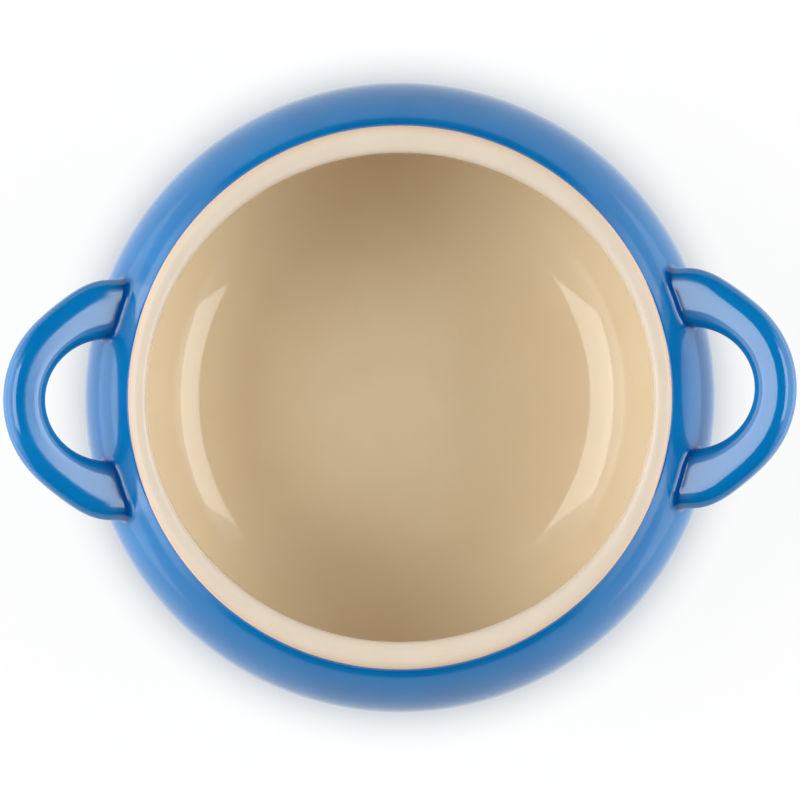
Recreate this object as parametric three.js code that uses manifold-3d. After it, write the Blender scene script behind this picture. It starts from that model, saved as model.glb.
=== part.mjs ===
// A stoneware mini cocotte without its lid: a round-bellied pot with a loop handle on each side,
// cream glaze inside and over the rim, blue glaze outside, and a bare foot ring.
// Millimetres, +Z up. The origin is the centre of the face that the pot stands on,
// +X points to the right handle and +Y to the rear.

import * as THREE from "three";
import { mergeVertices } from "three/addons/utils/BufferGeometryUtils.js";
import Module from "manifold-3d";

const wasm = await Module();
wasm.setup();

// Pot body, measured over the glaze
const BELLY_DIAMETER = 106;
const WIDEST_HEIGHT = 29.2;
const SHOULDER_RADIUS = 21.7;
const RIM_DIAMETER = 89.6;
const RIM_STRAIGHT = 0.8;
const NECK_FILLET = 1.2;
const BELLY_WALL = 4.8;
const FLOOR_DIAMETER = 56;
const FLOOR_THICKNESS = 5;

// Rim section: a narrow land, a crest on each side of it, slopes, then an edge.
// The mouth is a little oval: its inner edge lies further out at the sides than at front and rear.
const RIM_LAND = 0.4;
const RIM_CREST_RADIUS = 0.65;
const OUTER_CREST_DEGREES = 8;
const OUTER_SLOPE_RADIUS = 4;
const OUTER_SLOPE_DEGREES = 20;
const OUTER_EDGE_RADIUS = 0.7;
const INNER_CREST_DEGREES = 8;
const INNER_SLOPE_RADIUS = 5.5;
const INNER_SLOPE_DEGREES = 19;
const NECK_ROUND = 1.2;
const MOUTH_OVAL = 0.78;

// Foot ring
const FOOT_DIAMETER = 64;
const FOOT_WIDTH = 4;
const FOOT_HEIGHT = 2.5;
const FOOT_ROUND = 0.8;

// Coats and joints
const GLAZE = 0.5;
const GLAZE_SETBACK = 0.3;
const SLIP_THICKNESS = 1.2;
const JOINT_GAP = 0.3;

// Loop handles, measured over the glaze
const LOOP_OPENING = 20.2;
const LOOP_DEPTH = 11.25;
const LOOP_INSET = 1;
const HANDLE_TIP_WIDTH = 6.8;
const HANDLE_ARM_WIDTH = 7.65;
const HANDLE_ROOT_WIDTH = 9.85;
const HANDLE_THICKNESS = 5.4;
const HANDLE_ROUND = 2.3;
const HANDLE_DROP = 5.9;
const HANDLE_RISE_DEGREES = 24;
const ROOT_RUN = 12;
const ROOT_SPREAD = 0.4;
const ROOT_LIFT = 1;
const ROOT_FLARE_POWER = 14;
const ROOT_LIFT_POWER = 4;
const RIGHT_BEARING_DEGREES = 1.85;
const LEFT_BEARING_DEGREES = 180.5;

// Fineness of the facets
const TURN_STEPS = 56;
const CURVE_STEPS = 7;
const EDGE_STEPS = 3;
const RIM_STEPS = 2;
const LOOP_STEPS = 20;
const CORNER_STEPS = 2;
const QUAD_INDICES = 6;

// The two sides of the rim's crest
const OUTSIDE = 1;
const INSIDE = -1;

// Places that follow from the sizes above
const bellyRadius = BELLY_DIAMETER / 2;
const rimRadius = RIM_DIAMETER / 2;
const footRadius = FOOT_DIAMETER / 2;
const floorRadius = FLOOR_DIAMETER / 2;
const shoulderCentre = bellyRadius - SHOULDER_RADIUS;
const glazeLine = WIDEST_HEIGHT + Math.sqrt(
  (SHOULDER_RADIUS + NECK_FILLET) ** 2 - (rimRadius + NECK_FILLET - shoulderCentre) ** 2
);
const crestRadius = rimRadius - flankWidth(OUTSIDE);
const neckRadius = crestRadius - flankWidth(INSIDE);
const rimTop = glazeLine + RIM_STRAIGHT + flankDrop(OUTSIDE);
const neckCentre = neckRadius + NECK_ROUND;
const neckHeight = WIDEST_HEIGHT + Math.sqrt(
  (SHOULDER_RADIUS - BELLY_WALL + NECK_ROUND) ** 2 - (neckCentre - shoulderCentre) ** 2
);
const floorTop = FOOT_HEIGHT + FLOOR_THICKNESS;
const handleHeight = glazeLine - HANDLE_DROP;
const shoulderAtHandle = shoulderCentre + Math.sqrt(
  SHOULDER_RADIUS ** 2 - (handleHeight - WIDEST_HEIGHT) ** 2
);
const loopCentre = shoulderAtHandle - LOOP_INSET;
const coreInset = GLAZE + JOINT_GAP;

const cream = new THREE.MeshStandardMaterial({ color: 0xe0caa8, roughness: 0.2, metalness: 0 });
const blue = new THREE.MeshStandardMaterial({ color: 0x1c6bb8, roughness: 0.15, metalness: 0 });
const clay = new THREE.MeshStandardMaterial({ color: 0xcbb79a, roughness: 0.85, metalness: 0 });
const slip = new THREE.MeshStandardMaterial({ color: 0xb9a488, roughness: 0.9, metalness: 0 });

// The arcs of one flank of the rim, land to upright: a radius, and the slope in degrees that it ends at
function flankArcs(side) {
  if (side === OUTSIDE) {
    return [
      [RIM_CREST_RADIUS, OUTER_CREST_DEGREES],
      [OUTER_SLOPE_RADIUS, OUTER_SLOPE_DEGREES],
      [OUTER_EDGE_RADIUS, 90],
    ];
  }
  return [
    [RIM_CREST_RADIUS, INNER_CREST_DEGREES],
    [INNER_SLOPE_RADIUS, INNER_SLOPE_DEGREES],
    [NECK_ROUND, 90],
  ];
}

// How far a flank goes out from the middle of the land
function flankWidth(side) {
  let slope = 0;
  let width = RIM_LAND / 2;
  for (const [radius, degrees] of flankArcs(side)) {
    const end = THREE.MathUtils.degToRad(degrees);
    width += radius * (Math.sin(end) - Math.sin(slope));
    slope = end;
  }
  return width;
}

// How far a flank goes down from the land
function flankDrop(side) {
  let slope = 0;
  let drop = 0;
  for (const [radius, degrees] of flankArcs(side)) {
    const end = THREE.MathUtils.degToRad(degrees);
    drop += radius * (Math.cos(slope) - Math.cos(end));
    slope = end;
  }
  return drop;
}

function named(name, geometry, material) {
  const mesh = new THREE.Mesh(geometry, material);
  mesh.name = name;
  return mesh;
}

function solidFrom(geometry) {
  const bare = geometry.clone();
  bare.deleteAttribute("normal");
  bare.deleteAttribute("uv");
  const merged = mergeVertices(bare);
  const vertProperties = merged.getAttribute("position").array;
  const triVerts = new Uint32Array(merged.getIndex().array);
  return new wasm.Manifold(new wasm.Mesh({ numProp: 3, vertProperties, triVerts }));
}

function geometryFrom(solid) {
  const { vertProperties, triVerts } = solid.getMesh();
  const geometry = new THREE.BufferGeometry();
  geometry.setAttribute("position", new THREE.BufferAttribute(vertProperties, 3));
  geometry.setIndex(new THREE.BufferAttribute(triVerts, 1));
  geometry.computeVertexNormals();
  return geometry;
}

// A profile of radius and height, turned about the pot's axis; a point that has a sway goes out by it
// at the sides of the pot, and in by it at front and rear
function turned(profile) {
  const geometry = new THREE.LatheGeometry(profile, TURN_STEPS);
  geometry.rotateX(Math.PI / 2);
  const position = geometry.getAttribute("position");
  for (let vertex = 0; vertex < position.count; vertex += 1) {
    const { sway = 0 } = profile[vertex % profile.length];
    const bearing = Math.atan2(position.getY(vertex), position.getX(vertex));
    const out = sway * Math.cos(2 * bearing);
    position.setX(vertex, position.getX(vertex) + out * Math.cos(bearing));
    position.setY(vertex, position.getY(vertex) + out * Math.sin(bearing));
  }
  return geometry;
}

// Swaps the diagonal of each quad of a turned surface, so that it lies flush on one turned the other way
function otherDiagonals(geometry) {
  const index = geometry.getIndex();
  for (let first = 0; first < index.count; first += QUAD_INDICES) {
    const [a, b, d, c] = index.array.slice(first, first + QUAD_INDICES);
    index.array.set([a, b, c, a, c, d], first);
  }
  return geometry;
}

// Points on an arc; angles run from outwards, 0, to upwards, 90 degrees
function arc(centreR, centreZ, radiusR, radiusZ, fromDegrees, toDegrees, steps) {
  return Array.from({ length: steps + 1 }, (_, step) => {
    const angle = THREE.MathUtils.degToRad(fromDegrees + (toDegrees - fromDegrees) * step / steps);
    return new THREE.Vector2(centreR + radiusR * Math.cos(angle), centreZ + radiusZ * Math.sin(angle));
  });
}

// Outside of the pot, foot to glaze line; depth is how far the surface lies under the finished one
function outerSide(depth) {
  const lowerR = bellyRadius - footRadius - depth;
  const lowerZ = WIDEST_HEIGHT - FOOT_HEIGHT + GLAZE - depth;
  const shoulder = SHOULDER_RADIUS - depth;
  const fillet = NECK_FILLET + depth;
  const filletCentre = rimRadius + NECK_FILLET;
  const meetDegrees = THREE.MathUtils.radToDeg(
    Math.atan2(glazeLine - WIDEST_HEIGHT, filletCentre - shoulderCentre)
  );
  return [
    ...arc(footRadius, WIDEST_HEIGHT, lowerR, lowerZ, -90, 0, CURVE_STEPS),
    ...arc(shoulderCentre, WIDEST_HEIGHT, shoulder, shoulder, 0, meetDegrees, CURVE_STEPS).slice(1),
    ...arc(filletCentre, glazeLine, fillet, fillet, meetDegrees + 180, 180, EDGE_STEPS).slice(1),
  ];
}

// One flank of the rim, land to upright
function rimFlank(side, depth) {
  const points = [new THREE.Vector2(crestRadius + side * RIM_LAND / 2, rimTop - depth)];
  let centreR = crestRadius + side * RIM_LAND / 2;
  let centreZ = rimTop;
  let slopeDegrees = 0;
  let lastRadius = 0;
  for (const [radius, degrees] of flankArcs(side)) {
    const slope = THREE.MathUtils.degToRad(slopeDegrees);
    centreR += (lastRadius - radius) * Math.sin(slope) * side;
    centreZ += (lastRadius - radius) * Math.cos(slope);
    const round = radius - depth;
    const from = 90 - side * slopeDegrees;
    const to = 90 - side * degrees;
    points.push(...arc(centreR, centreZ, round, round, from, to, RIM_STEPS).slice(1));
    slopeDegrees = degrees;
    lastRadius = radius;
  }
  return points;
}

// Over the rim, glaze line to the inside of the neck
function rimCrest(depth) {
  return [
    new THREE.Vector2(rimRadius - depth, glazeLine),
    ...rimFlank(OUTSIDE, depth).reverse(),
    ...rimFlank(INSIDE, depth),
  ];
}

// Inside of the pot, neck to the middle of the floor
function innerSide(depth) {
  const upper = SHOULDER_RADIUS - BELLY_WALL + depth;
  const round = NECK_ROUND - depth;
  const neckDegrees = THREE.MathUtils.radToDeg(
    Math.atan2(neckHeight - WIDEST_HEIGHT, neckCentre - shoulderCentre)
  );
  const lowerR = bellyRadius - BELLY_WALL - floorRadius + depth;
  const lowerZ = WIDEST_HEIGHT - floorTop + depth;
  return [
    ...arc(neckCentre, neckHeight, round, round, 180, 180 + neckDegrees, RIM_STEPS),
    ...arc(shoulderCentre, WIDEST_HEIGHT, upper, upper, neckDegrees, 0, CURVE_STEPS).slice(1),
    ...arc(floorRadius, WIDEST_HEIGHT, lowerR, lowerZ, 0, -90, CURVE_STEPS).slice(1),
    new THREE.Vector2(0, floorTop - depth),
  ];
}

// How far the mouth's oval moves a place on the finished inside: most at the neck, not at all on the land
function mouthSway(place) {
  const landEdge = crestRadius - RIM_LAND / 2;
  const share = THREE.MathUtils.clamp((landEdge - place.x) / (landEdge - neckRadius), 0, 1);
  return place.y > WIDEST_HEIGHT ? MOUTH_OVAL * share ** 2 : 0;
}

// The cream side of the pot, glaze line to the middle of the floor, with the mouth's oval
function creamSide(depth) {
  const finished = [...rimCrest(0), ...innerSide(0)];
  const points = [...rimCrest(depth), ...innerSide(depth)];
  return points.map((point, index) => Object.assign(point, { sway: mouthSway(finished[index]) }));
}

function bowl() {
  const profile = [
    new THREE.Vector2(0, FOOT_HEIGHT),
    ...outerSide(GLAZE),
    ...creamSide(GLAZE).slice(1),
  ];
  return named("bowl", turned(profile), clay);
}

function interiorGlaze() {
  const profile = [...creamSide(GLAZE).reverse(), ...creamSide(0)];
  return named("interior_glaze", otherDiagonals(turned(profile)), cream);
}

function footRing() {
  const outer = footRadius - FOOT_ROUND;
  const inner = footRadius - FOOT_WIDTH + FOOT_ROUND;
  const profile = [
    new THREE.Vector2(footRadius - FOOT_WIDTH, FOOT_HEIGHT),
    ...arc(inner, FOOT_ROUND, FOOT_ROUND, FOOT_ROUND, 180, 270, EDGE_STEPS),
    ...arc(outer, FOOT_ROUND, FOOT_ROUND, FOOT_ROUND, 270, 360, EDGE_STEPS),
    new THREE.Vector2(footRadius, FOOT_HEIGHT),
    new THREE.Vector2(footRadius - FOOT_WIDTH, FOOT_HEIGHT),
  ];
  return named("foot_ring", turned(profile), clay);
}

function undersideGlaze() {
  const edge = footRadius - FOOT_WIDTH - GLAZE_SETBACK;
  const profile = [
    new THREE.Vector2(0, FOOT_HEIGHT - GLAZE),
    new THREE.Vector2(edge, FOOT_HEIGHT - GLAZE),
    new THREE.Vector2(edge, FOOT_HEIGHT),
    new THREE.Vector2(0, FOOT_HEIGHT),
  ];
  return named("underside_glaze", turned(profile), blue);
}

// The space inside an outline of the pot, from its first height to its last
function filled(outline) {
  const bottom = new THREE.Vector2(0, outline[0].y);
  const top = new THREE.Vector2(0, outline[outline.length - 1].y);
  return solidFrom(turned([bottom, ...outline, top]));
}

// The pot filled solid, its outside raised above the clay; it trims what sits on the shoulder
function filledPot(raised) {
  const depth = GLAZE - raised;
  return filled([...outerSide(depth), ...rimFlank(OUTSIDE, depth).reverse()]);
}

// Section of the handle at its tip: x runs outwards from the loop's opening, y is the thickness
function handleSection(inset) {
  const near = inset;
  const far = HANDLE_TIP_WIDTH - inset;
  const half = HANDLE_THICKNESS / 2 - inset;
  const round = HANDLE_ROUND - inset;
  const section = new THREE.Shape();
  section.moveTo(near + round, -half);
  section.lineTo(far - round, -half);
  section.absarc(far - round, -half + round, round, -Math.PI / 2, 0);
  section.lineTo(far, half - round);
  section.absarc(far - round, half - round, round, 0, Math.PI / 2);
  section.lineTo(near + round, half);
  section.absarc(near + round, half - round, round, Math.PI / 2, Math.PI);
  section.lineTo(near, -half + round);
  section.absarc(near + round, -half + round, round, Math.PI, Math.PI * 1.5);
  return section;
}

// Point on the loop: reach runs outwards along the rising handle, across runs along the pot's side,
// and lift raises the outer edge towards a root
function loopPoint(step, outwards) {
  const lastStep = LOOP_STEPS + 1;
  const turn = THREE.MathUtils.clamp((step - 1) / LOOP_STEPS, 0, 1);
  const angle = (0.5 - turn) * Math.PI;
  const inRoot = step < 1 || step > lastStep ? 1 : 0;
  const sideways = Math.abs(Math.sin(angle));
  const flare = (HANDLE_ARM_WIDTH - HANDLE_TIP_WIDTH) * sideways ** 2
    + (HANDLE_ROOT_WIDTH - HANDLE_ARM_WIDTH) * sideways ** ROOT_FLARE_POWER
    + ROOT_SPREAD * inRoot;
  const outer = outwards > HANDLE_TIP_WIDTH / 2 ? 1 : 0;
  const offset = outwards + flare * outer;
  return {
    reach: (LOOP_DEPTH + offset) * Math.cos(angle) - ROOT_RUN * inRoot,
    across: (LOOP_OPENING / 2 + offset) * Math.sin(angle),
    lift: ROOT_LIFT * sideways ** ROOT_LIFT_POWER * outer,
  };
}

// A handle's sweep round the loop, its surface inset from the finished one, pointing along +X
function handleSweep(inset) {
  const steps = LOOP_STEPS + 2;
  const geometry = new THREE.ExtrudeGeometry(handleSection(inset), {
    depth: steps,
    steps,
    bevelEnabled: false,
    curveSegments: CORNER_STEPS,
  });
  const rise = THREE.MathUtils.degToRad(HANDLE_RISE_DEGREES);
  const position = geometry.getAttribute("position");
  for (let vertex = 0; vertex < position.count; vertex += 1) {
    const { reach, across, lift } = loopPoint(position.getZ(vertex), position.getX(vertex));
    const up = position.getY(vertex) + lift;
    position.setXYZ(
      vertex,
      loopCentre + reach * Math.cos(rise) - up * Math.sin(rise),
      across,
      handleHeight + reach * Math.sin(rise) + up * Math.cos(rise)
    );
  }
  return solidFrom(geometry);
}

function handle(side) {
  const core = handleSweep(coreInset).subtract(filledPot(SLIP_THICKNESS));
  return named(`${side}_handle`, geometryFrom(core), clay);
}

// The slip under one root; the half of the layer on the given side of the handle's middle
function slipJoint(name, sign) {
  const layer = filledPot(SLIP_THICKNESS - JOINT_GAP).subtract(filledPot(JOINT_GAP));
  const pads = handleSweep(coreInset).intersect(layer).decompose();
  const pad = pads.find((piece) => Math.sign(piece.boundingBox().min[1]) === sign);
  return named(name, geometryFrom(pad), slip);
}

function handleGroup(side, bearingDegrees) {
  const bearing = THREE.MathUtils.degToRad(bearingDegrees);
  const rearSign = Math.cos(bearing) > 0 ? 1 : -1;
  const group = new THREE.Group();
  group.add(
    handle(side),
    slipJoint(`${side}_rear_slip_joint`, rearSign),
    slipJoint(`${side}_front_slip_joint`, -rearSign)
  );
  group.rotation.z = bearing;
  return group;
}

// The blue coat: a skin on the belly and shoulder that runs on over both handles as a sleeve.
// It stops at the rim's glaze line, and short of the foot ring.
function exteriorGlaze() {
  const setback = footRadius + GLAZE_SETBACK;
  const bareFoot = filled([new THREE.Vector2(setback, 0), new THREE.Vector2(setback, WIDEST_HEIGHT)]);
  const facings = [RIGHT_BEARING_DEGREES, LEFT_BEARING_DEGREES].map((bearing) => [0, 0, bearing]);
  const outside = [filled(outerSide(0)), ...facings.map((facing) => handleSweep(0).rotate(facing))];
  const inside = [filledPot(0), bareFoot, ...facings.map((facing) => handleSweep(GLAZE).rotate(facing))];
  const coat = wasm.Manifold.union(outside).subtract(wasm.Manifold.union(inside));
  return named("exterior_glaze", geometryFrom(coat), blue);
}

const cocotte = new THREE.Group();
cocotte.add(
  bowl(),
  footRing(),
  interiorGlaze(),
  exteriorGlaze(),
  undersideGlaze(),
  handleGroup("right", RIGHT_BEARING_DEGREES),
  handleGroup("left", LEFT_BEARING_DEGREES)
);

export default cocotte;
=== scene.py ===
"""Looks of a mini cocotte: two gloss glazes over stoneware, and the bare foot it was fired on.

Metres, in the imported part's frame: z 0 is the face that the pot stands on, +X points to the right
handle and +Y to the rear. The camera looks straight down, as in the photograph.
"""

import math

import bmesh
import bpy
import numpy as np
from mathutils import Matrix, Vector, kdtree


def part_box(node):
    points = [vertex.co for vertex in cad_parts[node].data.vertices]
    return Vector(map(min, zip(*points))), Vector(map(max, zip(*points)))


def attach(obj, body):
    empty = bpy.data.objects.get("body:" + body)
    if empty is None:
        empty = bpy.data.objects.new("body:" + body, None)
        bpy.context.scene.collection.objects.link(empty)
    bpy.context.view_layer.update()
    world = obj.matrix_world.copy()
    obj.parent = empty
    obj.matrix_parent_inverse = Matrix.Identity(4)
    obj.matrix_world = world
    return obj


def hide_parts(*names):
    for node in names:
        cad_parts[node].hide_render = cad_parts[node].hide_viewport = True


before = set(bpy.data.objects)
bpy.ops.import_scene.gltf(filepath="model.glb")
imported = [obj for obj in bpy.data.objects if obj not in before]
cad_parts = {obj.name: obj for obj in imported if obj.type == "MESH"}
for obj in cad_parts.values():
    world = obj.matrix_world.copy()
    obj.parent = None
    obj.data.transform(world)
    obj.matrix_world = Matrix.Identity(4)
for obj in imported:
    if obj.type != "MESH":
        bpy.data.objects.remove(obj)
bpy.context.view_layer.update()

MM = 0.001
SIDES = {"left": -1, "right": 1}

# Pot body, measured over the glaze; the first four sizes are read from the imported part
BELLY_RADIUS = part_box("exterior_glaze")[1].y
RIM_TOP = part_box("interior_glaze")[1].z
FOOT_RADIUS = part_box("foot_ring")[1].x
FOOT_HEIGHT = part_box("foot_ring")[1].z
WIDEST_HEIGHT = 29.2 * MM
SHOULDER_RADIUS = 21.7 * MM
RIM_RADIUS = 44.8 * MM
NECK_FILLET = 1.2 * MM
BELLY_WALL = 4.8 * MM
FLOOR_RADIUS = 28 * MM
FOOT_WIDTH = 4 * MM
FOOT_ROUND = 0.8 * MM
GLAZE = 0.5 * MM
GLAZE_SETBACK = 0.3 * MM

# The line between the glazes wanders in waves: share of the wander, waves round the pot, start
GLAZE_LINE_WANDER = 0.12 * MM
GLAZE_LINE_WAVES = [(0.5, 5, 0.6), (0.3, 11, 2.1), (0.2, 23, 0)]

# Rim section: a narrow land, a crest on each side of it, slopes, then an edge
RIM_LAND = 0.4 * MM
RIM_CREST_RADIUS = 0.65 * MM
OUTER_CREST_DEGREES = 8
OUTER_SLOPE_RADIUS = 4 * MM
OUTER_SLOPE_DEGREES = 20
OUTER_EDGE_RADIUS = 0.7 * MM
INNER_CREST_DEGREES = 8
INNER_SLOPE_RADIUS = 5.5 * MM
INNER_SLOPE_DEGREES = 19
NECK_ROUND = 1.2 * MM
MOUTH_OVAL = 0.78 * MM

# Loop handles, measured over the glaze
LOOP_OPENING = 20.2 * MM
LOOP_DEPTH = 11.25 * MM
LOOP_INSET = 1 * MM
HANDLE_TIP_WIDTH = 6.8 * MM
HANDLE_ARM_WIDTH = 7.65 * MM
HANDLE_ROOT_WIDTH = 9.85 * MM
HANDLE_THICKNESS = 5.4 * MM
HANDLE_ROUND = 2.3 * MM
HANDLE_DROP = 5.9 * MM
HANDLE_RISE = math.radians(24)
BEARINGS = {"right": math.radians(1.85), "left": math.radians(180.5)}

# How the handles run into the shoulder; a turn is 0 at the loop's tip and 1 at its end
ROOT_RUN = 12 * MM
ROOT_SPREAD = 0.4 * MM
ROOT_LIFT = 1 * MM
ROOT_LIFT_POWER = 4
ROOT_FLARE_POWER = 14
ARM_FLARE_POWER = 2
ROOT_STRAIGHTNESS = 0.45
STEADY_SHARE = 0.4
ROOT_FILLET = 1.1 * MM
ROOT_DIP = 0.3 * MM
CLEAR_TURN = 0.3
BURIED_TURN = 2.0

# Fineness of the meshes
TURN_STEPS = 256
CURVE_STEPS = 28
EDGE_STEPS = 8
CORNER_STEPS = 10
FLAT_STEPS = 5
LOOP_STEPS = 96
FILLET_STEPS = 12
EVENING_ROUNDS = 12
BISECTIONS = 40
MERGE_DISTANCE = 0.001 * MM
SHARP_ANGLE = math.radians(50)

# Colours, as seen on a screen
BLUE_DARK = (4, 104, 166)
BLUE_LIGHT = (8, 111, 173)
# Blue in the creases: partly pooled glaze, partly painted shade
BLUE_POOL_AND_SHADE = (0, 76, 150)
CREAM_DARK = (225, 209, 177)
CREAM_LIGHT = (227, 212, 181)
CREAM_RIM_DARK = (207, 193, 174)
CREAM_RIM_LIGHT = (210, 197, 179)
CREAM_THIN = (214, 158, 112)
CLAY_DARK = (176, 150, 116)
CLAY_LIGHT = (206, 184, 152)
SLIP_DARK = (158, 134, 104)
SLIP_LIGHT = (186, 164, 134)
IRON_SPECK = (96, 66, 42)
# Painted shadow: the floor's grey round the pot
FLOOR_PAINTED_SHADOW = (209, 214, 219)

# Linear colours
BLACK = (0, 0, 0, 1)
WHITE = (1, 1, 1, 1)
FLOOR_DARK = (0.90, 0.90, 0.90, 1)
FLOOR_LIGHT = (0.94, 0.94, 0.94, 1)

# Glazes: mottle, orange peel, slow waves, and patches of more and less gloss
GLAZE_ROUGHNESS = 0.12
BLUE_ROUGHNESS = (0.09, 0.15)
CREAM_ROUGHNESS = (0.05, 0.08)
CREAM_GLOSS = 0.33
RIM_SATIN = 0.26
MOTTLE_STOPS = (0.3, 0.7)
BLUE_MOTTLE_SIZE = 9 * MM
BLUE_MOTTLE_DETAIL = 3
CREAM_MOTTLE_SIZE = 8 * MM
CREAM_MOTTLE_DETAIL = 4
PEEL_SIZE = 1.4 * MM
PEEL_DETAIL = 2
PEEL_DEPTH = 0.004 * MM
WAVE_SIZE = 12 * MM
WAVE_DETAIL = 1
WAVE_DEPTH = 0.02 * MM
PATCH_SIZE = 4 * MM
PATCH_DETAIL = 3

# Where the blue is darkened in creases, partly pooled glaze and partly painted shade, and where the
# cream runs thin or pale
POOL_AND_SHADE_REACH = 0.7 * MM
THIN_REACH = 0.25 * MM
THIN_ON_SLOPE = 0.3
RIM_PALE_FROM = 2.2 * MM
RIM_PALE_TO = 1.2 * MM

# Bare clay: grain and iron specks
CLAY_ROUGHNESS = 0.85
CLAY_ROUGHNESS_RANGE = (0.75, 0.95)
GRAIN_SIZE = 0.5 * MM
GRAIN_DETAIL = 6
GRAIN_STOPS = (0.35, 0.65)
GRAIN_DEPTH = 0.04 * MM
SPECK_SIZE = 0.9 * MM
SPECK_DETAIL = 2
SPECK_STOPS = (0.68, 0.74)

# Floor: a painted shadow of grey round the pot, white beyond
FLOOR_SIZE = 6.0
FLOOR_ROUGHNESS = 0.9
FLOOR_GRAIN_SIZE = 3 * MM
FLOOR_GRAIN_DETAIL = 4
# Radii: where the grey glow of the painted shadow starts, where the painted shadow is full, and where
# it has faded to white
FLOOR_SHADE_RADIUS = 51 * MM
FLOOR_PAINTED_SHADOW_RADIUS = 54.5 * MM
FLOOR_WHITE_RADIUS = 62.5 * MM
FLOOR_WHITE_SHARE = 0.9

# Camera
CAMERA_HEIGHT = 900 * MM
CAMERA_LENS_MM = 232.8
CAMERA_OFFSET = Vector((0, -0.42 * MM, 0))
CAMERA_CLIP_START = 10 * MM

# Soft boxes: elevations in degrees, and strips by first azimuth, last azimuth and share of radiance
LAMP_DISTANCE = 500 * MM
LAMP_ELEVATIONS = {"left": (38.5, 65), "right": (31.5, 52.5)}
LAMP_RADIANCE = {"left": 5.7, "right": 5.6}
LAMP_STRIPS = [(-29, 33, 1), (33, 40, 0.2)]

# Lamps beside the pot: upright on the floor, and lying on it
LOW_LAMP_DISTANCE = 250 * MM
LOW_LAMP_HEIGHT = 60 * MM
LOW_LAMP_LENGTH = 220 * MM
LOW_LAMP_RADIANCE = {"left": 1.9, "right": 0.3}
FLOOR_LAMP_NEAR = 110 * MM
FLOOR_LAMP_FAR = 260 * MM
FLOOR_LAMP_LIFT = 1 * MM
FLOOR_LAMP_RADIANCE = 0.7

# Room: how far a direction leans to one side where its pale wall starts, and where it is palest
ROOM_RADIANCE = {"left": 3.1, "middle": 0, "right": 2.5}
PALE_FROM = 0.6
PALE_TO = 0.9

# A screen's colour curve
SCREEN_TOP = 255
SCREEN_KNEE = 0.04045
SCREEN_SLOPE = 12.92
SCREEN_OFFSET = 0.055
SCREEN_POWER = 2.4

# The mix node's colour sockets, by number, as sockets for other values have the same names
MIX_FIRST = 6
MIX_SECOND = 7
MIX_RESULT = 2

# Places that follow from the sizes above
SHOULDER_CENTRE = BELLY_RADIUS - SHOULDER_RADIUS
FLOOR_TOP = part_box("interior_glaze")[0].z + GLAZE


def blend_height(wall, shoulder, ease):
    """Height where an arc that eases a shoulder of that radius into an upright wall meets the wall."""
    return WIDEST_HEIGHT + math.sqrt((shoulder + ease) ** 2 - (wall + ease - SHOULDER_CENTRE) ** 2)


GLAZE_LINE = blend_height(RIM_RADIUS, SHOULDER_RADIUS, NECK_FILLET)
HANDLE_HEIGHT = GLAZE_LINE - HANDLE_DROP
SHOULDER_AT_HANDLE = SHOULDER_CENTRE + math.sqrt(
    SHOULDER_RADIUS**2 - (HANDLE_HEIGHT - WIDEST_HEIGHT) ** 2
)
LOOP_CENTRE = SHOULDER_AT_HANDLE - LOOP_INSET


def arc(centre, radii, start, end, steps):
    """Points of an elliptical arc; angles in degrees run from outwards, 0, to upwards, 90."""
    angles = np.radians(np.linspace(start, end, steps + 1))
    return [
        (centre[0] + radii[0] * math.cos(angle), centre[1] + radii[1] * math.sin(angle))
        for angle in angles
    ]


def neck(wall, shoulder, ease):
    """A shoulder arc from the widest place, eased by a hollow arc into an upright wall."""
    height = blend_height(wall, shoulder, ease)
    hollow = (wall + ease, height)
    meet = math.degrees(math.atan2(height - WIDEST_HEIGHT, hollow[0] - SHOULDER_CENTRE))
    crown = (SHOULDER_CENTRE, WIDEST_HEIGHT)
    return (
        arc(crown, (shoulder, shoulder), 0, meet, CURVE_STEPS)
        + arc(hollow, (ease, ease), meet + 180, 180, EDGE_STEPS)[1:]
    )


def outer_side(depth, setback):
    """Outside of the pot, foot to glaze line; depth is how far it lies under the finished surface."""
    lower = (BELLY_RADIUS - FOOT_RADIUS - depth, WIDEST_HEIGHT - FOOT_HEIGHT + GLAZE - depth)
    start = -math.degrees(math.acos(setback / lower[0]))
    base = arc((FOOT_RADIUS, WIDEST_HEIGHT), lower, start, 0, CURVE_STEPS)
    return base + neck(RIM_RADIUS - depth, SHOULDER_RADIUS - depth, NECK_FILLET + depth)[1:]


FLANK_ARCS = {
    1: [
        (RIM_CREST_RADIUS, OUTER_CREST_DEGREES),
        (OUTER_SLOPE_RADIUS, OUTER_SLOPE_DEGREES),
        (OUTER_EDGE_RADIUS, 90),
    ],
    -1: [
        (RIM_CREST_RADIUS, INNER_CREST_DEGREES),
        (INNER_SLOPE_RADIUS, INNER_SLOPE_DEGREES),
        (NECK_ROUND, 90),
    ],
}


def rim_flank(side, depth):
    """One flank of the rim, land to upright, from the middle of the land; side -1 is the inside."""
    centre = np.array([side * RIM_LAND / 2, 0.0])
    points = [(centre[0], -depth)]
    last = 0
    slope = 0
    for radius, end in FLANK_ARCS[side]:
        turn = math.radians(slope)
        centre += (last - radius) * np.array([side * math.sin(turn), math.cos(turn)])
        radii = (radius - depth, radius - depth)
        points += arc(centre, radii, 90 - side * slope, 90 - side * end, EDGE_STEPS)[1:]
        last = radius
        slope = end
    return points


CREST_RADIUS = RIM_RADIUS - rim_flank(1, 0)[-1][0]
NECK_RADIUS = CREST_RADIUS + rim_flank(-1, 0)[-1][0]


def rim_crest(depth):
    """Over the rim, from just above the glaze line to the inside of the neck."""
    section = rim_flank(1, depth)[::-1] + rim_flank(-1, depth)
    return [(CREST_RADIUS + out, RIM_TOP + up) for out, up in section]


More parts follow.
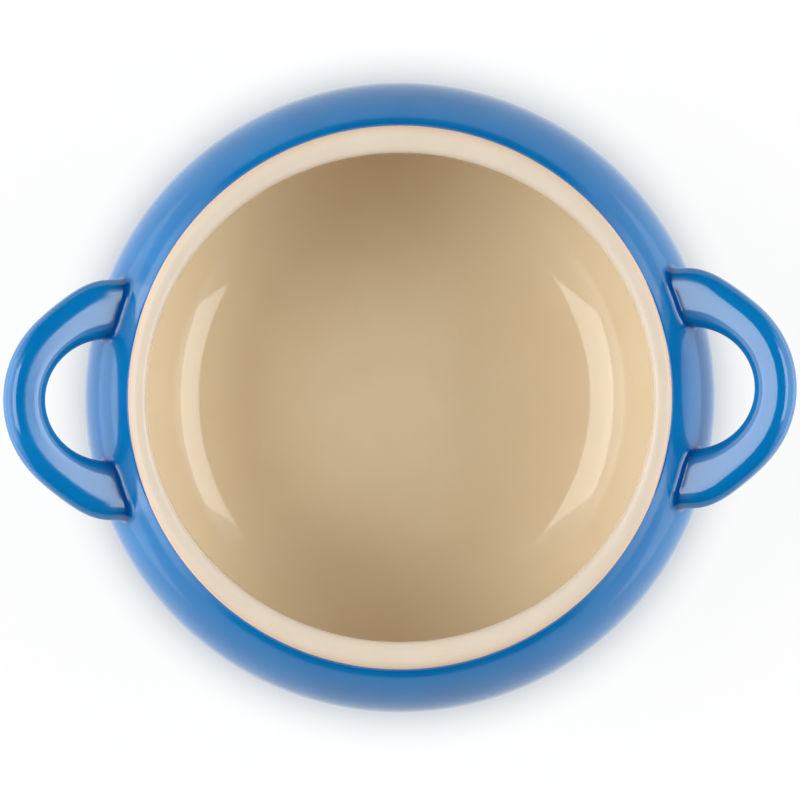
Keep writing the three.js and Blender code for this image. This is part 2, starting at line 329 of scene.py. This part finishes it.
def inner_side(depth):
    """Inside of the pot, neck to the middle of the floor."""
    upper = neck(NECK_RADIUS + depth, SHOULDER_RADIUS - BELLY_WALL + depth, NECK_ROUND - depth)
    lower = (BELLY_RADIUS - BELLY_WALL - FLOOR_RADIUS + depth, WIDEST_HEIGHT - FLOOR_TOP + depth)
    base = arc((FLOOR_RADIUS, WIDEST_HEIGHT), lower, 0, -90, CURVE_STEPS)
    return upper[::-1] + base[1:] + [(0, FLOOR_TOP - depth)]


def mouth_sway(place):
    """How far the mouth's oval moves a place on the finished inside: most at the neck."""
    land_edge = CREST_RADIUS - RIM_LAND / 2
    share = np.clip((land_edge - place[0]) / (land_edge - NECK_RADIUS), 0, 1)
    return MOUTH_OVAL * share**2 if place[1] > WIDEST_HEIGHT else 0


def cream_side(depth, turn):
    """Over the rim and down to the middle of the floor, at one bearing of the oval mouth."""
    finished = rim_crest(0) + inner_side(0)
    points = rim_crest(depth) + inner_side(depth)
    return [
        (radius + mouth_sway(place) * math.cos(2 * turn), height)
        for (radius, height), place in zip(points, finished)
    ]


def glaze_line(turn):
    """Height of the line between the two glazes, which wanders a little, as a dipped edge does."""
    waves = [share * math.sin(count * turn + start) for share, count, start in GLAZE_LINE_WAVES]
    return GLAZE_LINE + GLAZE_LINE_WANDER * sum(waves)


def surface(name, grid, loop, material):
    """A closed, smooth mesh from rows of points.

    Each row closes on itself, and so do the rows in a loop.
    """
    rows, columns = grid.shape[:2]
    index = np.arange(rows * columns).reshape(rows, columns)
    below = index if loop else index[:-1]
    above = np.roll(index, -1, axis=0) if loop else index[1:]
    quads = np.stack([below, np.roll(below, -1, axis=1), np.roll(above, -1, axis=1), above], axis=-1)
    mesh = bpy.data.meshes.new(name)
    mesh.from_pydata(grid.reshape(-1, 3).tolist(), [], quads.reshape(-1, 4).tolist())
    work = bmesh.new()
    work.from_mesh(mesh)
    bmesh.ops.remove_doubles(work, verts=work.verts, dist=MERGE_DISTANCE)
    bmesh.ops.recalc_face_normals(work, faces=work.faces)
    work.to_mesh(mesh)
    work.free()
    mesh.polygons.foreach_set("use_smooth", [True] * len(mesh.polygons))
    mesh.set_sharp_from_angle(angle=SHARP_ANGLE)
    mesh.materials.append(material)
    piece = bpy.data.objects.new(name, mesh)
    bpy.context.scene.collection.objects.link(piece)
    return piece


def turned(outline_at):
    """Rows of points from an outline of radius and height turned about the pot's axis."""
    turns = np.linspace(0, 2 * math.pi, TURN_STEPS, endpoint=False)
    outlines = np.array([outline_at(turn) for turn in turns])
    radius = outlines[:, :, 0].T
    height = outlines[:, :, 1].T
    return np.stack([radius * np.cos(turns), radius * np.sin(turns), height], axis=-1)


def bead(start, end, steps):
    """The soft edge of a coat: a half circle from its one face to its other."""
    middle = ((start[0] + end[0]) / 2, (start[1] + end[1]) / 2)
    radius = math.dist(start, end) / 2
    first = math.degrees(math.atan2(start[1] - middle[1], start[0] - middle[0]))
    return arc(middle, (radius, radius), first, first - 180, steps)[1:-1]


def belly_coat_outline(turn):
    """The blue coat on belly and shoulder, up to the glaze line."""
    outside = outer_side(0, GLAZE_SETBACK)
    inside = outer_side(GLAZE, GLAZE_SETBACK)
    line = glaze_line(turn)
    top = [(RIM_RADIUS, line), (RIM_RADIUS - GLAZE, line)]
    return outside[:-1] + top + inside[-2::-1] + bead(inside[0], outside[0], EDGE_STEPS)


def interior_coat_outline(turn):
    """The cream coat, from the glaze line over the rim to the middle of the floor."""
    line = glaze_line(turn)
    under = [(RIM_RADIUS - GLAZE, line)] + cream_side(GLAZE, turn)
    return under[::-1] + [(RIM_RADIUS, line)] + cream_side(0, turn)


def foot_outline(turn):
    """The bare ring that the pot stands on, the same at every turn."""
    round_radii = (FOOT_ROUND, FOOT_ROUND)
    inner = (FOOT_RADIUS - FOOT_WIDTH + FOOT_ROUND, FOOT_ROUND)
    outer = (FOOT_RADIUS - FOOT_ROUND, FOOT_ROUND)
    return (
        [(FOOT_RADIUS - FOOT_WIDTH, FOOT_HEIGHT)]
        + arc(inner, round_radii, 180, 270, EDGE_STEPS)
        + arc(outer, round_radii, 270, 360, EDGE_STEPS)
        + [(FOOT_RADIUS, FOOT_HEIGHT)]
    )


def underside_outline(turn):
    """The glaze inside the foot ring, soft at its edge and the same at every turn."""
    edge = FOOT_RADIUS - FOOT_WIDTH - GLAZE_SETBACK
    rim = arc((edge - GLAZE, FOOT_HEIGHT), (GLAZE, GLAZE), 270, 360, EDGE_STEPS)
    return [(0, FOOT_HEIGHT - GLAZE)] + rim + [(0, FOOT_HEIGHT)]


def handle_section(slack):
    """Points round the handle's section: out from the loop's opening, and up.

    The slack draws the upper outer round towards the straight line between its ends.
    """
    near = HANDLE_ROUND
    far = HANDLE_TIP_WIDTH - HANDLE_ROUND
    half = HANDLE_THICKNESS / 2 - HANDLE_ROUND
    corners = [(far, -half, -90), (far, half, 0), (near, half, 90), (near, -half, 180)]
    radii = (HANDLE_ROUND, HANDLE_ROUND)
    rounds = [arc((out, up), radii, start, start + 90, CORNER_STEPS) for out, up, start in corners]
    upper = np.array(rounds[1])
    straight = np.linspace(upper[0], upper[-1], len(upper))
    rounds[1] = [tuple(point) for point in upper + (straight - upper) * slack]
    points = []
    for this, following in zip(rounds, rounds[1:] + rounds[:1]):
        flat = np.linspace(this[-1], following[0], FLAT_STEPS + 1)[1:-1]
        points += this + [tuple(point) for point in flat]
    return np.array(points)


SECTION = handle_section(0)
ROOT_SLACK = handle_section(ROOT_STRAIGHTNESS) - SECTION
STEADY_EDGE = STEADY_SHARE * HANDLE_ROUND
FLARE_SHARE = np.clip(
    (SECTION[:, 0] - STEADY_EDGE) / (HANDLE_TIP_WIDTH - 2 * STEADY_EDGE), 0, 1
)


def handle_points(turn):
    """Points round the handle; turn is 0 at the loop's tip, and -1 and 1 at its two ends."""
    angle = np.clip(turn, -1, 1) * math.pi / 2
    in_root = np.maximum(np.abs(turn) - 1, 0)
    sideways = np.abs(np.sin(angle))
    flare = (
        (HANDLE_ARM_WIDTH - HANDLE_TIP_WIDTH) * sideways**ARM_FLARE_POWER
        + (HANDLE_ROOT_WIDTH - HANDLE_ARM_WIDTH) * sideways**ROOT_FLARE_POWER
        + ROOT_SPREAD * in_root
    )
    to_root = sideways**ROOT_LIFT_POWER
    out = SECTION[:, 0] + ROOT_SLACK[:, 0] * to_root + FLARE_SHARE * flare
    up = SECTION[:, 1] + ROOT_SLACK[:, 1] * to_root + FLARE_SHARE * ROOT_LIFT * to_root
    reach = (LOOP_DEPTH + out) * np.cos(angle) - ROOT_RUN * in_root
    across = (LOOP_OPENING / 2 + out) * np.sin(angle)
    return np.stack(
        [
            LOOP_CENTRE + reach * math.cos(HANDLE_RISE) - up * math.sin(HANDLE_RISE),
            across,
            HANDLE_HEIGHT + reach * math.sin(HANDLE_RISE) + up * math.cos(HANDLE_RISE),
        ],
        axis=-1,
    )


def unit(vectors):
    """Vectors of length 1 in the same directions."""
    return vectors / np.linalg.norm(vectors, axis=1)[:, None]


def shoulder_offset(points):
    """From the nearest place on the ring that the shoulder is round, to each point."""
    radius = np.linalg.norm(points[:, :2], axis=1)
    centre = np.column_stack(
        [points[:, :2] * (SHOULDER_CENTRE / radius)[:, None], np.full(len(points), WIDEST_HEIGHT)]
    )
    return points - centre


def above_shoulder(points):
    """How far each point lies outside the shoulder."""
    return np.linalg.norm(shoulder_offset(points), axis=1) - SHOULDER_RADIUS


def shoulder_normal(points):
    """The way out of the shoulder at each point."""
    return unit(shoulder_offset(points))


def between(low, high, still_low):
    """Halves the span from low to high, for each point of the section, to where the test turns."""
    for _ in range(BISECTIONS):
        middle = (low + high) / 2
        keep_low = still_low(middle)
        low = np.where(keep_low, middle, low)
        high = np.where(keep_low, high, middle)
    return low


def root_crease(end):
    """Where one root's sides meet the shoulder, and the turns where its fillet starts on them."""
    clear = np.full(len(SECTION), CLEAR_TURN)
    buried = np.full(len(SECTION), BURIED_TURN)
    meet = between(clear, buried, lambda turn: above_shoulder(handle_points(end * turn)) > 0)
    crease = handle_points(end * meet)

    def within_fillet(turn):
        return np.linalg.norm(handle_points(end * turn) - crease, axis=1) < ROOT_FILLET

    return crease, between(meet, clear, within_fillet)


def root_foot(top, crease):
    """Where one root's fillet ends on the shoulder, evened out round the root."""
    along = np.roll(crease, -1, axis=0) - np.roll(crease, 1, axis=0)
    facing = np.cross(along, top - crease)
    outwards = np.sum(facing * (crease - crease.mean(0)), axis=1)
    facing *= np.sign(outwards)[:, None]
    normal = shoulder_normal(crease)
    away = unit(facing - normal * np.sum(facing * normal, axis=1)[:, None])
    for _ in range(EVENING_ROUNDS):
        away = unit((np.roll(away, -1, axis=0) + 2 * away + np.roll(away, 1, axis=0)) / 4)
    foot = crease + away * ROOT_FILLET
    return foot - shoulder_normal(foot) * above_shoulder(foot)[:, None]


def handle_root(end):
    """One root: where its fillet starts, the crease line where the blue is darkened by pooled glaze and
    painted shade, and the fillet's rows.
    """
    crease, start = root_crease(end)
    top = handle_points(end * start)
    foot = root_foot(top, crease)
    shares = 0.5 - 0.5 * np.cos(np.linspace(0, math.pi, FILLET_STEPS + 1))
    fillet = [(1 - w) ** 2 * top + 2 * w * (1 - w) * crease + w**2 * foot for w in shares]
    dipped = foot - shoulder_normal(foot) * ROOT_DIP
    plug = np.broadcast_to(dipped.mean(0), dipped.shape)
    return start, (top + crease) / 2, fillet + [dipped, plug]


def turn_to(points, bearing):
    """Points turned about the pot's axis."""
    turn = np.array(
        [
            [math.cos(bearing), math.sin(bearing), 0],
            [-math.sin(bearing), math.cos(bearing), 0],
            [0, 0, 1],
        ]
    )
    return points @ turn


def handle_coat(side, material):
    """The blue coat on one handle, run into the shoulder at both roots, and the crease lines where its
    blue is darkened by pooled glaze and painted shade.
    """
    first_start, first_shaded_crease, first = handle_root(1)
    last_start, last_shaded_crease, last = handle_root(-1)
    middle = [
        handle_points(first_start * (1 - share) - last_start * share)
        for share in np.linspace(0, 1, LOOP_STEPS + 1)[1:-1]
    ]
    grid = turn_to(np.array(first[::-1] + middle + last), BEARINGS[side])
    shaded_creases = turn_to(np.concatenate([first_shaded_crease, last_shaded_crease]), BEARINGS[side])
    return surface(f"{side}_handle_coat", grid, False, material), shaded_creases


def linear(red, green, blue):
    """A colour as seen on a screen, 0 to 255, as the shader's linear colour."""
    shares = np.array([red, green, blue]) / SCREEN_TOP
    curve = ((shares + SCREEN_OFFSET) / (1 + SCREEN_OFFSET)) ** SCREEN_POWER
    values = np.where(shares <= SCREEN_KNEE, shares / SCREEN_SLOPE, curve)
    return (*values.tolist(), 1.0)


class Finish:
    """A material with its shader, and short ways to add nodes to it."""

    def __init__(self, name, roughness):
        self.material = bpy.data.materials.new(name)
        self.material.use_nodes = True
        self.tree = self.material.node_tree
        self.shader = self.tree.nodes["Principled BSDF"]
        self.shader.inputs["Roughness"].default_value = roughness
        self.place = self.tree.nodes.new("ShaderNodeTexCoord").outputs["Object"]

    def node(self, kind, **values):
        """A new node with those settings."""
        made = self.tree.nodes.new(kind)
        for name, value in values.items():
            setattr(made, name, value)
        return made

    def link(self, source, target):
        """Links one node's output to another's input."""
        self.tree.links.new(source, target)

    def noise(self, size, detail):
        """Soft noise whose lumps are about that size."""
        made = self.node("ShaderNodeTexNoise")
        made.inputs["Scale"].default_value = 1 / size
        made.inputs["Detail"].default_value = detail
        self.link(self.place, made.inputs["Vector"])
        return made.outputs["Fac"]

    def ramp(self, factor, stops, first, second):
        """One colour up to the first stop of a factor and another from the second, blended between."""
        made = self.node("ShaderNodeValToRGB")
        for element, position, colour in zip(made.color_ramp.elements, stops, (first, second)):
            element.position = position
            element.color = colour
        self.link(factor, made.inputs["Fac"])
        return made.outputs["Color"]

    def mix(self, factor, first, second):
        """Two colours mixed by a factor; a colour is a socket or a constant."""
        made = self.node("ShaderNodeMix", data_type="RGBA")
        self.link(factor, made.inputs["Factor"])
        for socket, colour in ((made.inputs[MIX_FIRST], first), (made.inputs[MIX_SECOND], second)):
            if isinstance(colour, tuple):
                socket.default_value = colour
            else:
                self.link(colour, socket)
        return made.outputs[MIX_RESULT]

    def attribute(self, name):
        """A value stored on the mesh's points."""
        made = self.node("ShaderNodeAttribute", attribute_name=name)
        return made.outputs["Fac"]

    def spread(self, factor, low, high):
        """A factor from 0 to 1 stretched from low to high."""
        made = self.node("ShaderNodeMapRange")
        made.inputs["To Min"].default_value = low
        made.inputs["To Max"].default_value = high
        self.link(factor, made.inputs["Value"])
        return made.outputs["Result"]

    def span(self, value, start, end, top):
        """How far a value has come from start to end, as a share of top."""
        made = self.node("ShaderNodeMapRange")
        made.inputs["From Min"].default_value = start
        made.inputs["From Max"].default_value = end
        made.inputs["To Max"].default_value = top
        self.link(value, made.inputs["Value"])
        return made.outputs["Result"]

    def combine(self, operation, first, second):
        """Two values joined by one operation."""
        made = self.node("ShaderNodeMath", operation=operation)
        self.link(first, made.inputs[0])
        self.link(second, made.inputs[1])
        return made.outputs["Value"]

    def bump(self, height, depth, under=None):
        """Relief of that depth, over any relief already made."""
        made = self.node("ShaderNodeBump")
        made.inputs["Distance"].default_value = depth
        self.link(height, made.inputs["Height"])
        if under is not None:
            self.link(under, made.inputs["Normal"])
        return made.outputs["Normal"]

    def wire(self, **sockets):
        """Links sockets to the shader's inputs, by the input's name with _ for a space."""
        for name, socket in sockets.items():
            self.link(socket, self.shader.inputs[name.replace("_", " ")])


def glaze_relief(finish):
    """A glaze's faint orange peel, and the slow waves that it lies in."""
    peel = finish.bump(finish.noise(PEEL_SIZE, PEEL_DETAIL), PEEL_DEPTH)
    return finish.bump(finish.noise(WAVE_SIZE, WAVE_DETAIL), WAVE_DEPTH, peel)


def gloss_patches(finish, roughness):
    """Roughness that varies a little from patch to patch."""
    return finish.spread(finish.noise(PATCH_SIZE, PATCH_DETAIL), *roughness)


def blue_glaze():
    """Blue glaze: mottled a little, and darker in the creases, partly as pooled glaze and partly as
    painted shade.
    """
    finish = Finish("blue_glaze", GLAZE_ROUGHNESS)
    mottle = finish.noise(BLUE_MOTTLE_SIZE, BLUE_MOTTLE_DETAIL)
    body = finish.ramp(mottle, MOTTLE_STOPS, linear(*BLUE_DARK), linear(*BLUE_LIGHT))
    finish.wire(
        # Darker blue in the creases: pooled glaze and painted shade
        Base_Color=finish.mix(finish.attribute("pool_and_painted_shade"), body, linear(*BLUE_POOL_AND_SHADE)),
        Roughness=gloss_patches(finish, BLUE_ROUGHNESS),
        Normal=glaze_relief(finish),
    )
    return finish.material


def cream_glaze():
    """Cream glaze: greyer and more matt over the rim, and warmer where it lies thin."""
    finish = Finish("cream_glaze", GLAZE_ROUGHNESS)
    mottle = finish.noise(CREAM_MOTTLE_SIZE, CREAM_MOTTLE_DETAIL)
    deep = finish.ramp(mottle, MOTTLE_STOPS, linear(*CREAM_DARK), linear(*CREAM_LIGHT))
    pale = finish.ramp(mottle, MOTTLE_STOPS, linear(*CREAM_RIM_DARK), linear(*CREAM_RIM_LIGHT))
    body = finish.mix(finish.attribute("rim"), deep, pale)
    satin = finish.node("ShaderNodeMath", operation="MULTIPLY_ADD")
    finish.link(finish.attribute("rim"), satin.inputs[0])
    satin.inputs[1].default_value = RIM_SATIN
    finish.link(gloss_patches(finish, CREAM_ROUGHNESS), satin.inputs[2])
    finish.shader.inputs["Specular IOR Level"].default_value = CREAM_GLOSS
    finish.wire(
        Base_Color=finish.mix(finish.attribute("thin"), body, linear(*CREAM_THIN)),
        Roughness=satin.outputs["Value"],
        Normal=glaze_relief(finish),
    )
    return finish.material


def bare_clay(name, light, dark):
    """Fired stoneware: buff, grained and specked with iron."""
    finish = Finish(name, CLAY_ROUGHNESS)
    grain = finish.noise(GRAIN_SIZE, GRAIN_DETAIL)
    body = finish.ramp(grain, GRAIN_STOPS, linear(*dark), linear(*light))
    specks = finish.ramp(finish.noise(SPECK_SIZE, SPECK_DETAIL), SPECK_STOPS, BLACK, WHITE)
    finish.wire(
        Base_Color=finish.mix(specks, body, linear(*IRON_SPECK)),
        Roughness=finish.spread(grain, *CLAY_ROUGHNESS_RANGE),
        Normal=finish.bump(grain, GRAIN_DEPTH),
    )
    return finish.material


def store(piece, name, values):
    """Keeps a value for each of a piece's points, for its material to read."""
    attribute = piece.data.attributes.new(name, "FLOAT", "POINT")
    attribute.data.foreach_set("value", np.asarray(values, np.float32))


def eased(share):
    """A share held between 0 and 1, with soft ends."""
    held = np.clip(share, 0, 1)
    return held * held * (3 - 2 * held)


def places(piece):
    """The piece's points."""
    points = np.zeros(len(piece.data.vertices) * 3, np.float32)
    piece.data.vertices.foreach_get("co", points)
    return points.reshape(-1, 3)


def pool_and_shade_creases(piece, shaded_creases):
    """Marks how near each point lies to the creases at the handle roots and under the rim, where the
    blue is darkened: partly pooled glaze, partly painted shade.
    """
    tree = kdtree.KDTree(len(shaded_creases))
    for index, point in enumerate(shaded_creases):
        tree.insert(point, index)
    tree.balance()
    points = places(piece)
    radius = np.linalg.norm(points[:, :2], axis=1)
    from_root = np.array([tree.find(point)[2] for point in points.tolist()])
    from_rim = np.hypot(radius - RIM_RADIUS, points[:, 2] - GLAZE_LINE)
    nearest = np.minimum(from_root, from_rim)
    store(piece, "pool_and_painted_shade", np.exp(-((nearest / POOL_AND_SHADE_REACH) ** 2)))


def thin_at_glaze_line(piece):
    """Marks where the cream coat runs thin: over the rim's outer slope, and most of all at its edge."""
    points = places(piece)
    radius = np.linalg.norm(points[:, :2], axis=1)
    drop = np.abs(points[:, 2] - GLAZE_LINE)
    at_edge = np.where(radius > RIM_RADIUS - GLAZE / 2, np.exp(-((drop / THIN_REACH) ** 2)), 0)
    on_slope = THIN_ON_SLOPE * eased((radius - CREST_RADIUS) / (RIM_RADIUS - CREST_RADIUS))
    store(piece, "thin", np.where(radius > CREST_RADIUS, np.maximum(at_edge, on_slope), 0))


def pale_over_rim(piece):
    """Marks the rim, where the cream coat lies thinner than in the bowl."""
    below = RIM_TOP - places(piece)[:, 2]
    store(piece, "rim", eased((RIM_PALE_FROM - below) / (RIM_PALE_FROM - RIM_PALE_TO)))


def keep(piece, slot, *replaced):
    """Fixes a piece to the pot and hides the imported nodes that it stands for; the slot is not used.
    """
    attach(piece, "root")
    if replaced:
        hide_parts(*replaced)


def dress_pot():
    """The pot's visible coats and foot, and the clay that they cover."""
    blue = blue_glaze()
    cream = cream_glaze()
    clay = bare_clay("bare_clay", CLAY_LIGHT, CLAY_DARK)
    slip = bare_clay("clay_slip", SLIP_LIGHT, SLIP_DARK)

    belly = surface("belly_coat", turned(belly_coat_outline), True, blue)
    interior = surface("interior_coat", turned(interior_coat_outline), False, cream)
    foot = surface("foot", turned(foot_outline), True, clay)
    underside = surface("underside_coat", turned(underside_outline), False, blue)
    handles = [handle_coat(side, blue) for side in BEARINGS]

    shaded_creases = np.concatenate([pool_and_painted_shade for _, pool_and_painted_shade in handles])
    for piece in [belly, underside] + [coat for coat, _ in handles]:
        pool_and_shade_creases(piece, shaded_creases)
    thin_at_glaze_line(interior)
    pale_over_rim(interior)

    keep(belly, "blue_glaze", "exterior_glaze")
    for coat, _ in handles:
        keep(coat, "blue_glaze")
    keep(interior, "cream_glaze", "interior_glaze")
    keep(underside, "blue_glaze", "underside_glaze")
    keep(foot, "clay", "foot_ring")
    for name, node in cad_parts.items():
        node.data.materials.clear()
        node.data.materials.append(slip if name.endswith("slip_joint") else clay)


def seen_directly(finish):
    """1 for a ray that shows the floor itself: to the camera, off a gloss or through a clear piece."""
    path = finish.node("ShaderNodeLightPath")
    seen = path.outputs["Is Camera Ray"]
    for kind in ("Is Glossy Ray", "Is Transmission Ray"):
        seen = finish.combine("MAXIMUM", seen, path.outputs[kind])
    return seen


def floor_with_painted_shadow():
    """A matt floor that takes the pot's cast shadow, with a painted shadow of grey round the pot in its
    colour and its glow, and turns white a little way from the pot.
    """
    finish = Finish("floor_with_painted_shadow", FLOOR_ROUGHNESS)
    finish.shader.inputs["Specular IOR Level"].default_value = 0.0
    noise = finish.noise(FLOOR_GRAIN_SIZE, FLOOR_GRAIN_DETAIL)
    grain = finish.ramp(noise, MOTTLE_STOPS, FLOOR_DARK, FLOOR_LIGHT)
    length = finish.node("ShaderNodeVectorMath", operation="LENGTH")
    finish.link(finish.place, length.inputs[0])
    away = length.outputs["Value"]
    # Painted shadow: grey that is full out to its radius and fades to white by the white radius, in the
    # floor's colour and in its glow
    near = finish.span(away, FLOOR_WHITE_RADIUS, FLOOR_PAINTED_SHADOW_RADIUS, 1)
    painted_shadow = finish.combine("MULTIPLY", near, near)
    finish.wire(Base_Color=finish.mix(painted_shadow, grain, linear(*FLOOR_PAINTED_SHADOW)))
    # The glow is white for the backdrop, and grey near the pot as painted shadow
    glow = finish.node("ShaderNodeEmission")
    finish.link(finish.mix(painted_shadow, WHITE, linear(*FLOOR_PAINTED_SHADOW)), glow.inputs["Color"])
    clear = finish.span(away, FLOOR_SHADE_RADIUS, FLOOR_PAINTED_SHADOW_RADIUS, FLOOR_WHITE_SHARE)
    blend = finish.node("ShaderNodeMixShader")
    finish.link(finish.combine("MULTIPLY", seen_directly(finish), clear), blend.inputs["Fac"])
    finish.link(finish.shader.outputs["BSDF"], blend.inputs[1])
    finish.link(glow.outputs["Emission"], blend.inputs[2])
    output = finish.tree.nodes["Material Output"]
    finish.link(blend.outputs["Shader"], output.inputs["Surface"])
    return finish.material


def set_stage():
    """A pale floor that keeps the pot's shadow, with a painted shadow round the pot."""
    half = FLOOR_SIZE / 2
    corners = [(-half, -half, 0), (half, -half, 0), (half, half, 0), (-half, half, 0)]
    mesh = bpy.data.meshes.new("floor")
    mesh.from_pydata(corners, [], [(0, 1, 2, 3)])
    mesh.materials.append(floor_with_painted_shadow())
    floor = bpy.data.objects.new("floor", mesh)
    bpy.context.scene.collection.objects.link(floor)


def lamp(name, size, place, lean, radiance):
    """A soft lamp of that size, turned by that angle from facing down; the camera doesn't see it."""
    data = bpy.data.lights.new(name, "AREA")
    data.shape = "RECTANGLE"
    data.size, data.size_y = size
    data.energy = radiance * math.pi * data.size * data.size_y
    light = bpy.data.objects.new(name, data)
    light.location = place
    light.rotation_euler = (0, lean, 0)
    light.visible_camera = False
    bpy.context.scene.collection.objects.link(light)


def softbox(name, azimuths, radiance):
    """A long soft lamp high beside the pot, facing it."""
    side = SIDES[name]
    low, high = np.radians(LAMP_ELEVATIONS[name])
    elevation = (low + high) / 2
    out = LAMP_DISTANCE * math.cos(elevation)
    up = LAMP_DISTANCE * math.sin(elevation)
    front, rear = out * np.tan(np.radians(azimuths))
    size = (2 * LAMP_DISTANCE * math.tan((high - low) / 2), rear - front)
    place = (side * out, (front + rear) / 2, WIDEST_HEIGHT + up)
    lamp(f"{name}_softbox", size, place, side * (math.pi / 2 - elevation), radiance)


def low_lamp(name):
    """An upright lamp on the floor beside the pot, facing it."""
    side = SIDES[name]
    size = (LOW_LAMP_HEIGHT, LOW_LAMP_LENGTH)
    place = (side * LOW_LAMP_DISTANCE, 0, LOW_LAMP_HEIGHT / 2)
    lamp(f"{name}_low_lamp", size, place, side * math.pi / 2, LOW_LAMP_RADIANCE[name])


def floor_lamp(name):
    """A lamp that lies on the floor beside the pot, where the floor looks bright in the glaze."""
    size = (FLOOR_LAMP_FAR - FLOOR_LAMP_NEAR, LOW_LAMP_LENGTH)
    place = (SIDES[name] * (FLOOR_LAMP_NEAR + FLOOR_LAMP_FAR) / 2, 0, FLOOR_LAMP_LIFT)
    lamp(f"{name}_floor_lamp", size, place, math.pi, FLOOR_LAMP_RADIANCE)


def set_lamps():
    """Lamps at both sides, high and low."""
    for name in SIDES:
        for front, rear, share in LAMP_STRIPS:
            softbox(name, (front, rear), share * LAMP_RADIANCE[name])
        low_lamp(name)
        floor_lamp(name)


def room_wall(tree, across, name):
    """How pale the room is towards one side, from how far a direction leans that way."""
    wall = tree.nodes.new("ShaderNodeMapRange")
    wall.inputs["From Min"].default_value = SIDES[name] * PALE_FROM
    wall.inputs["From Max"].default_value = SIDES[name] * PALE_TO
    wall.inputs["To Min"].default_value = ROOM_RADIANCE["middle"]
    wall.inputs["To Max"].default_value = ROOM_RADIANCE[name]
    tree.links.new(across, wall.inputs["Value"])
    return wall.outputs["Result"]


def set_room():
    """A room that is pale at its sides and dark elsewhere."""
    world = bpy.data.worlds.new("room")
    bpy.context.scene.world = world
    world.use_nodes = True
    tree = world.node_tree
    direction = tree.nodes.new("ShaderNodeTexCoord").outputs["Generated"]
    split = tree.nodes.new("ShaderNodeSeparateXYZ")
    tree.links.new(direction, split.inputs["Vector"])
    brighter = tree.nodes.new("ShaderNodeMath")
    brighter.operation = "MAXIMUM"
    for socket, name in zip(brighter.inputs, SIDES):
        tree.links.new(room_wall(tree, split.outputs["X"], name), socket)
    background = tree.nodes["Background"]
    background.inputs["Color"].default_value = WHITE
    tree.links.new(brighter.outputs["Value"], background.inputs["Strength"])


def set_camera():
    """Straight down on the pot, its right handle to the right of the picture."""
    data = bpy.data.cameras.new("camera")
    data.lens = CAMERA_LENS_MM
    data.clip_start = CAMERA_CLIP_START
    camera = bpy.data.objects.new("camera", data)
    camera.location = CAMERA_OFFSET + Vector((0, 0, CAMERA_HEIGHT))
    bpy.context.scene.collection.objects.link(camera)
    bpy.context.scene.camera = camera


bpy.context.scene.view_settings.view_transform = "Standard"
dress_pot()
set_stage()
set_lamps()
set_room()
set_camera()
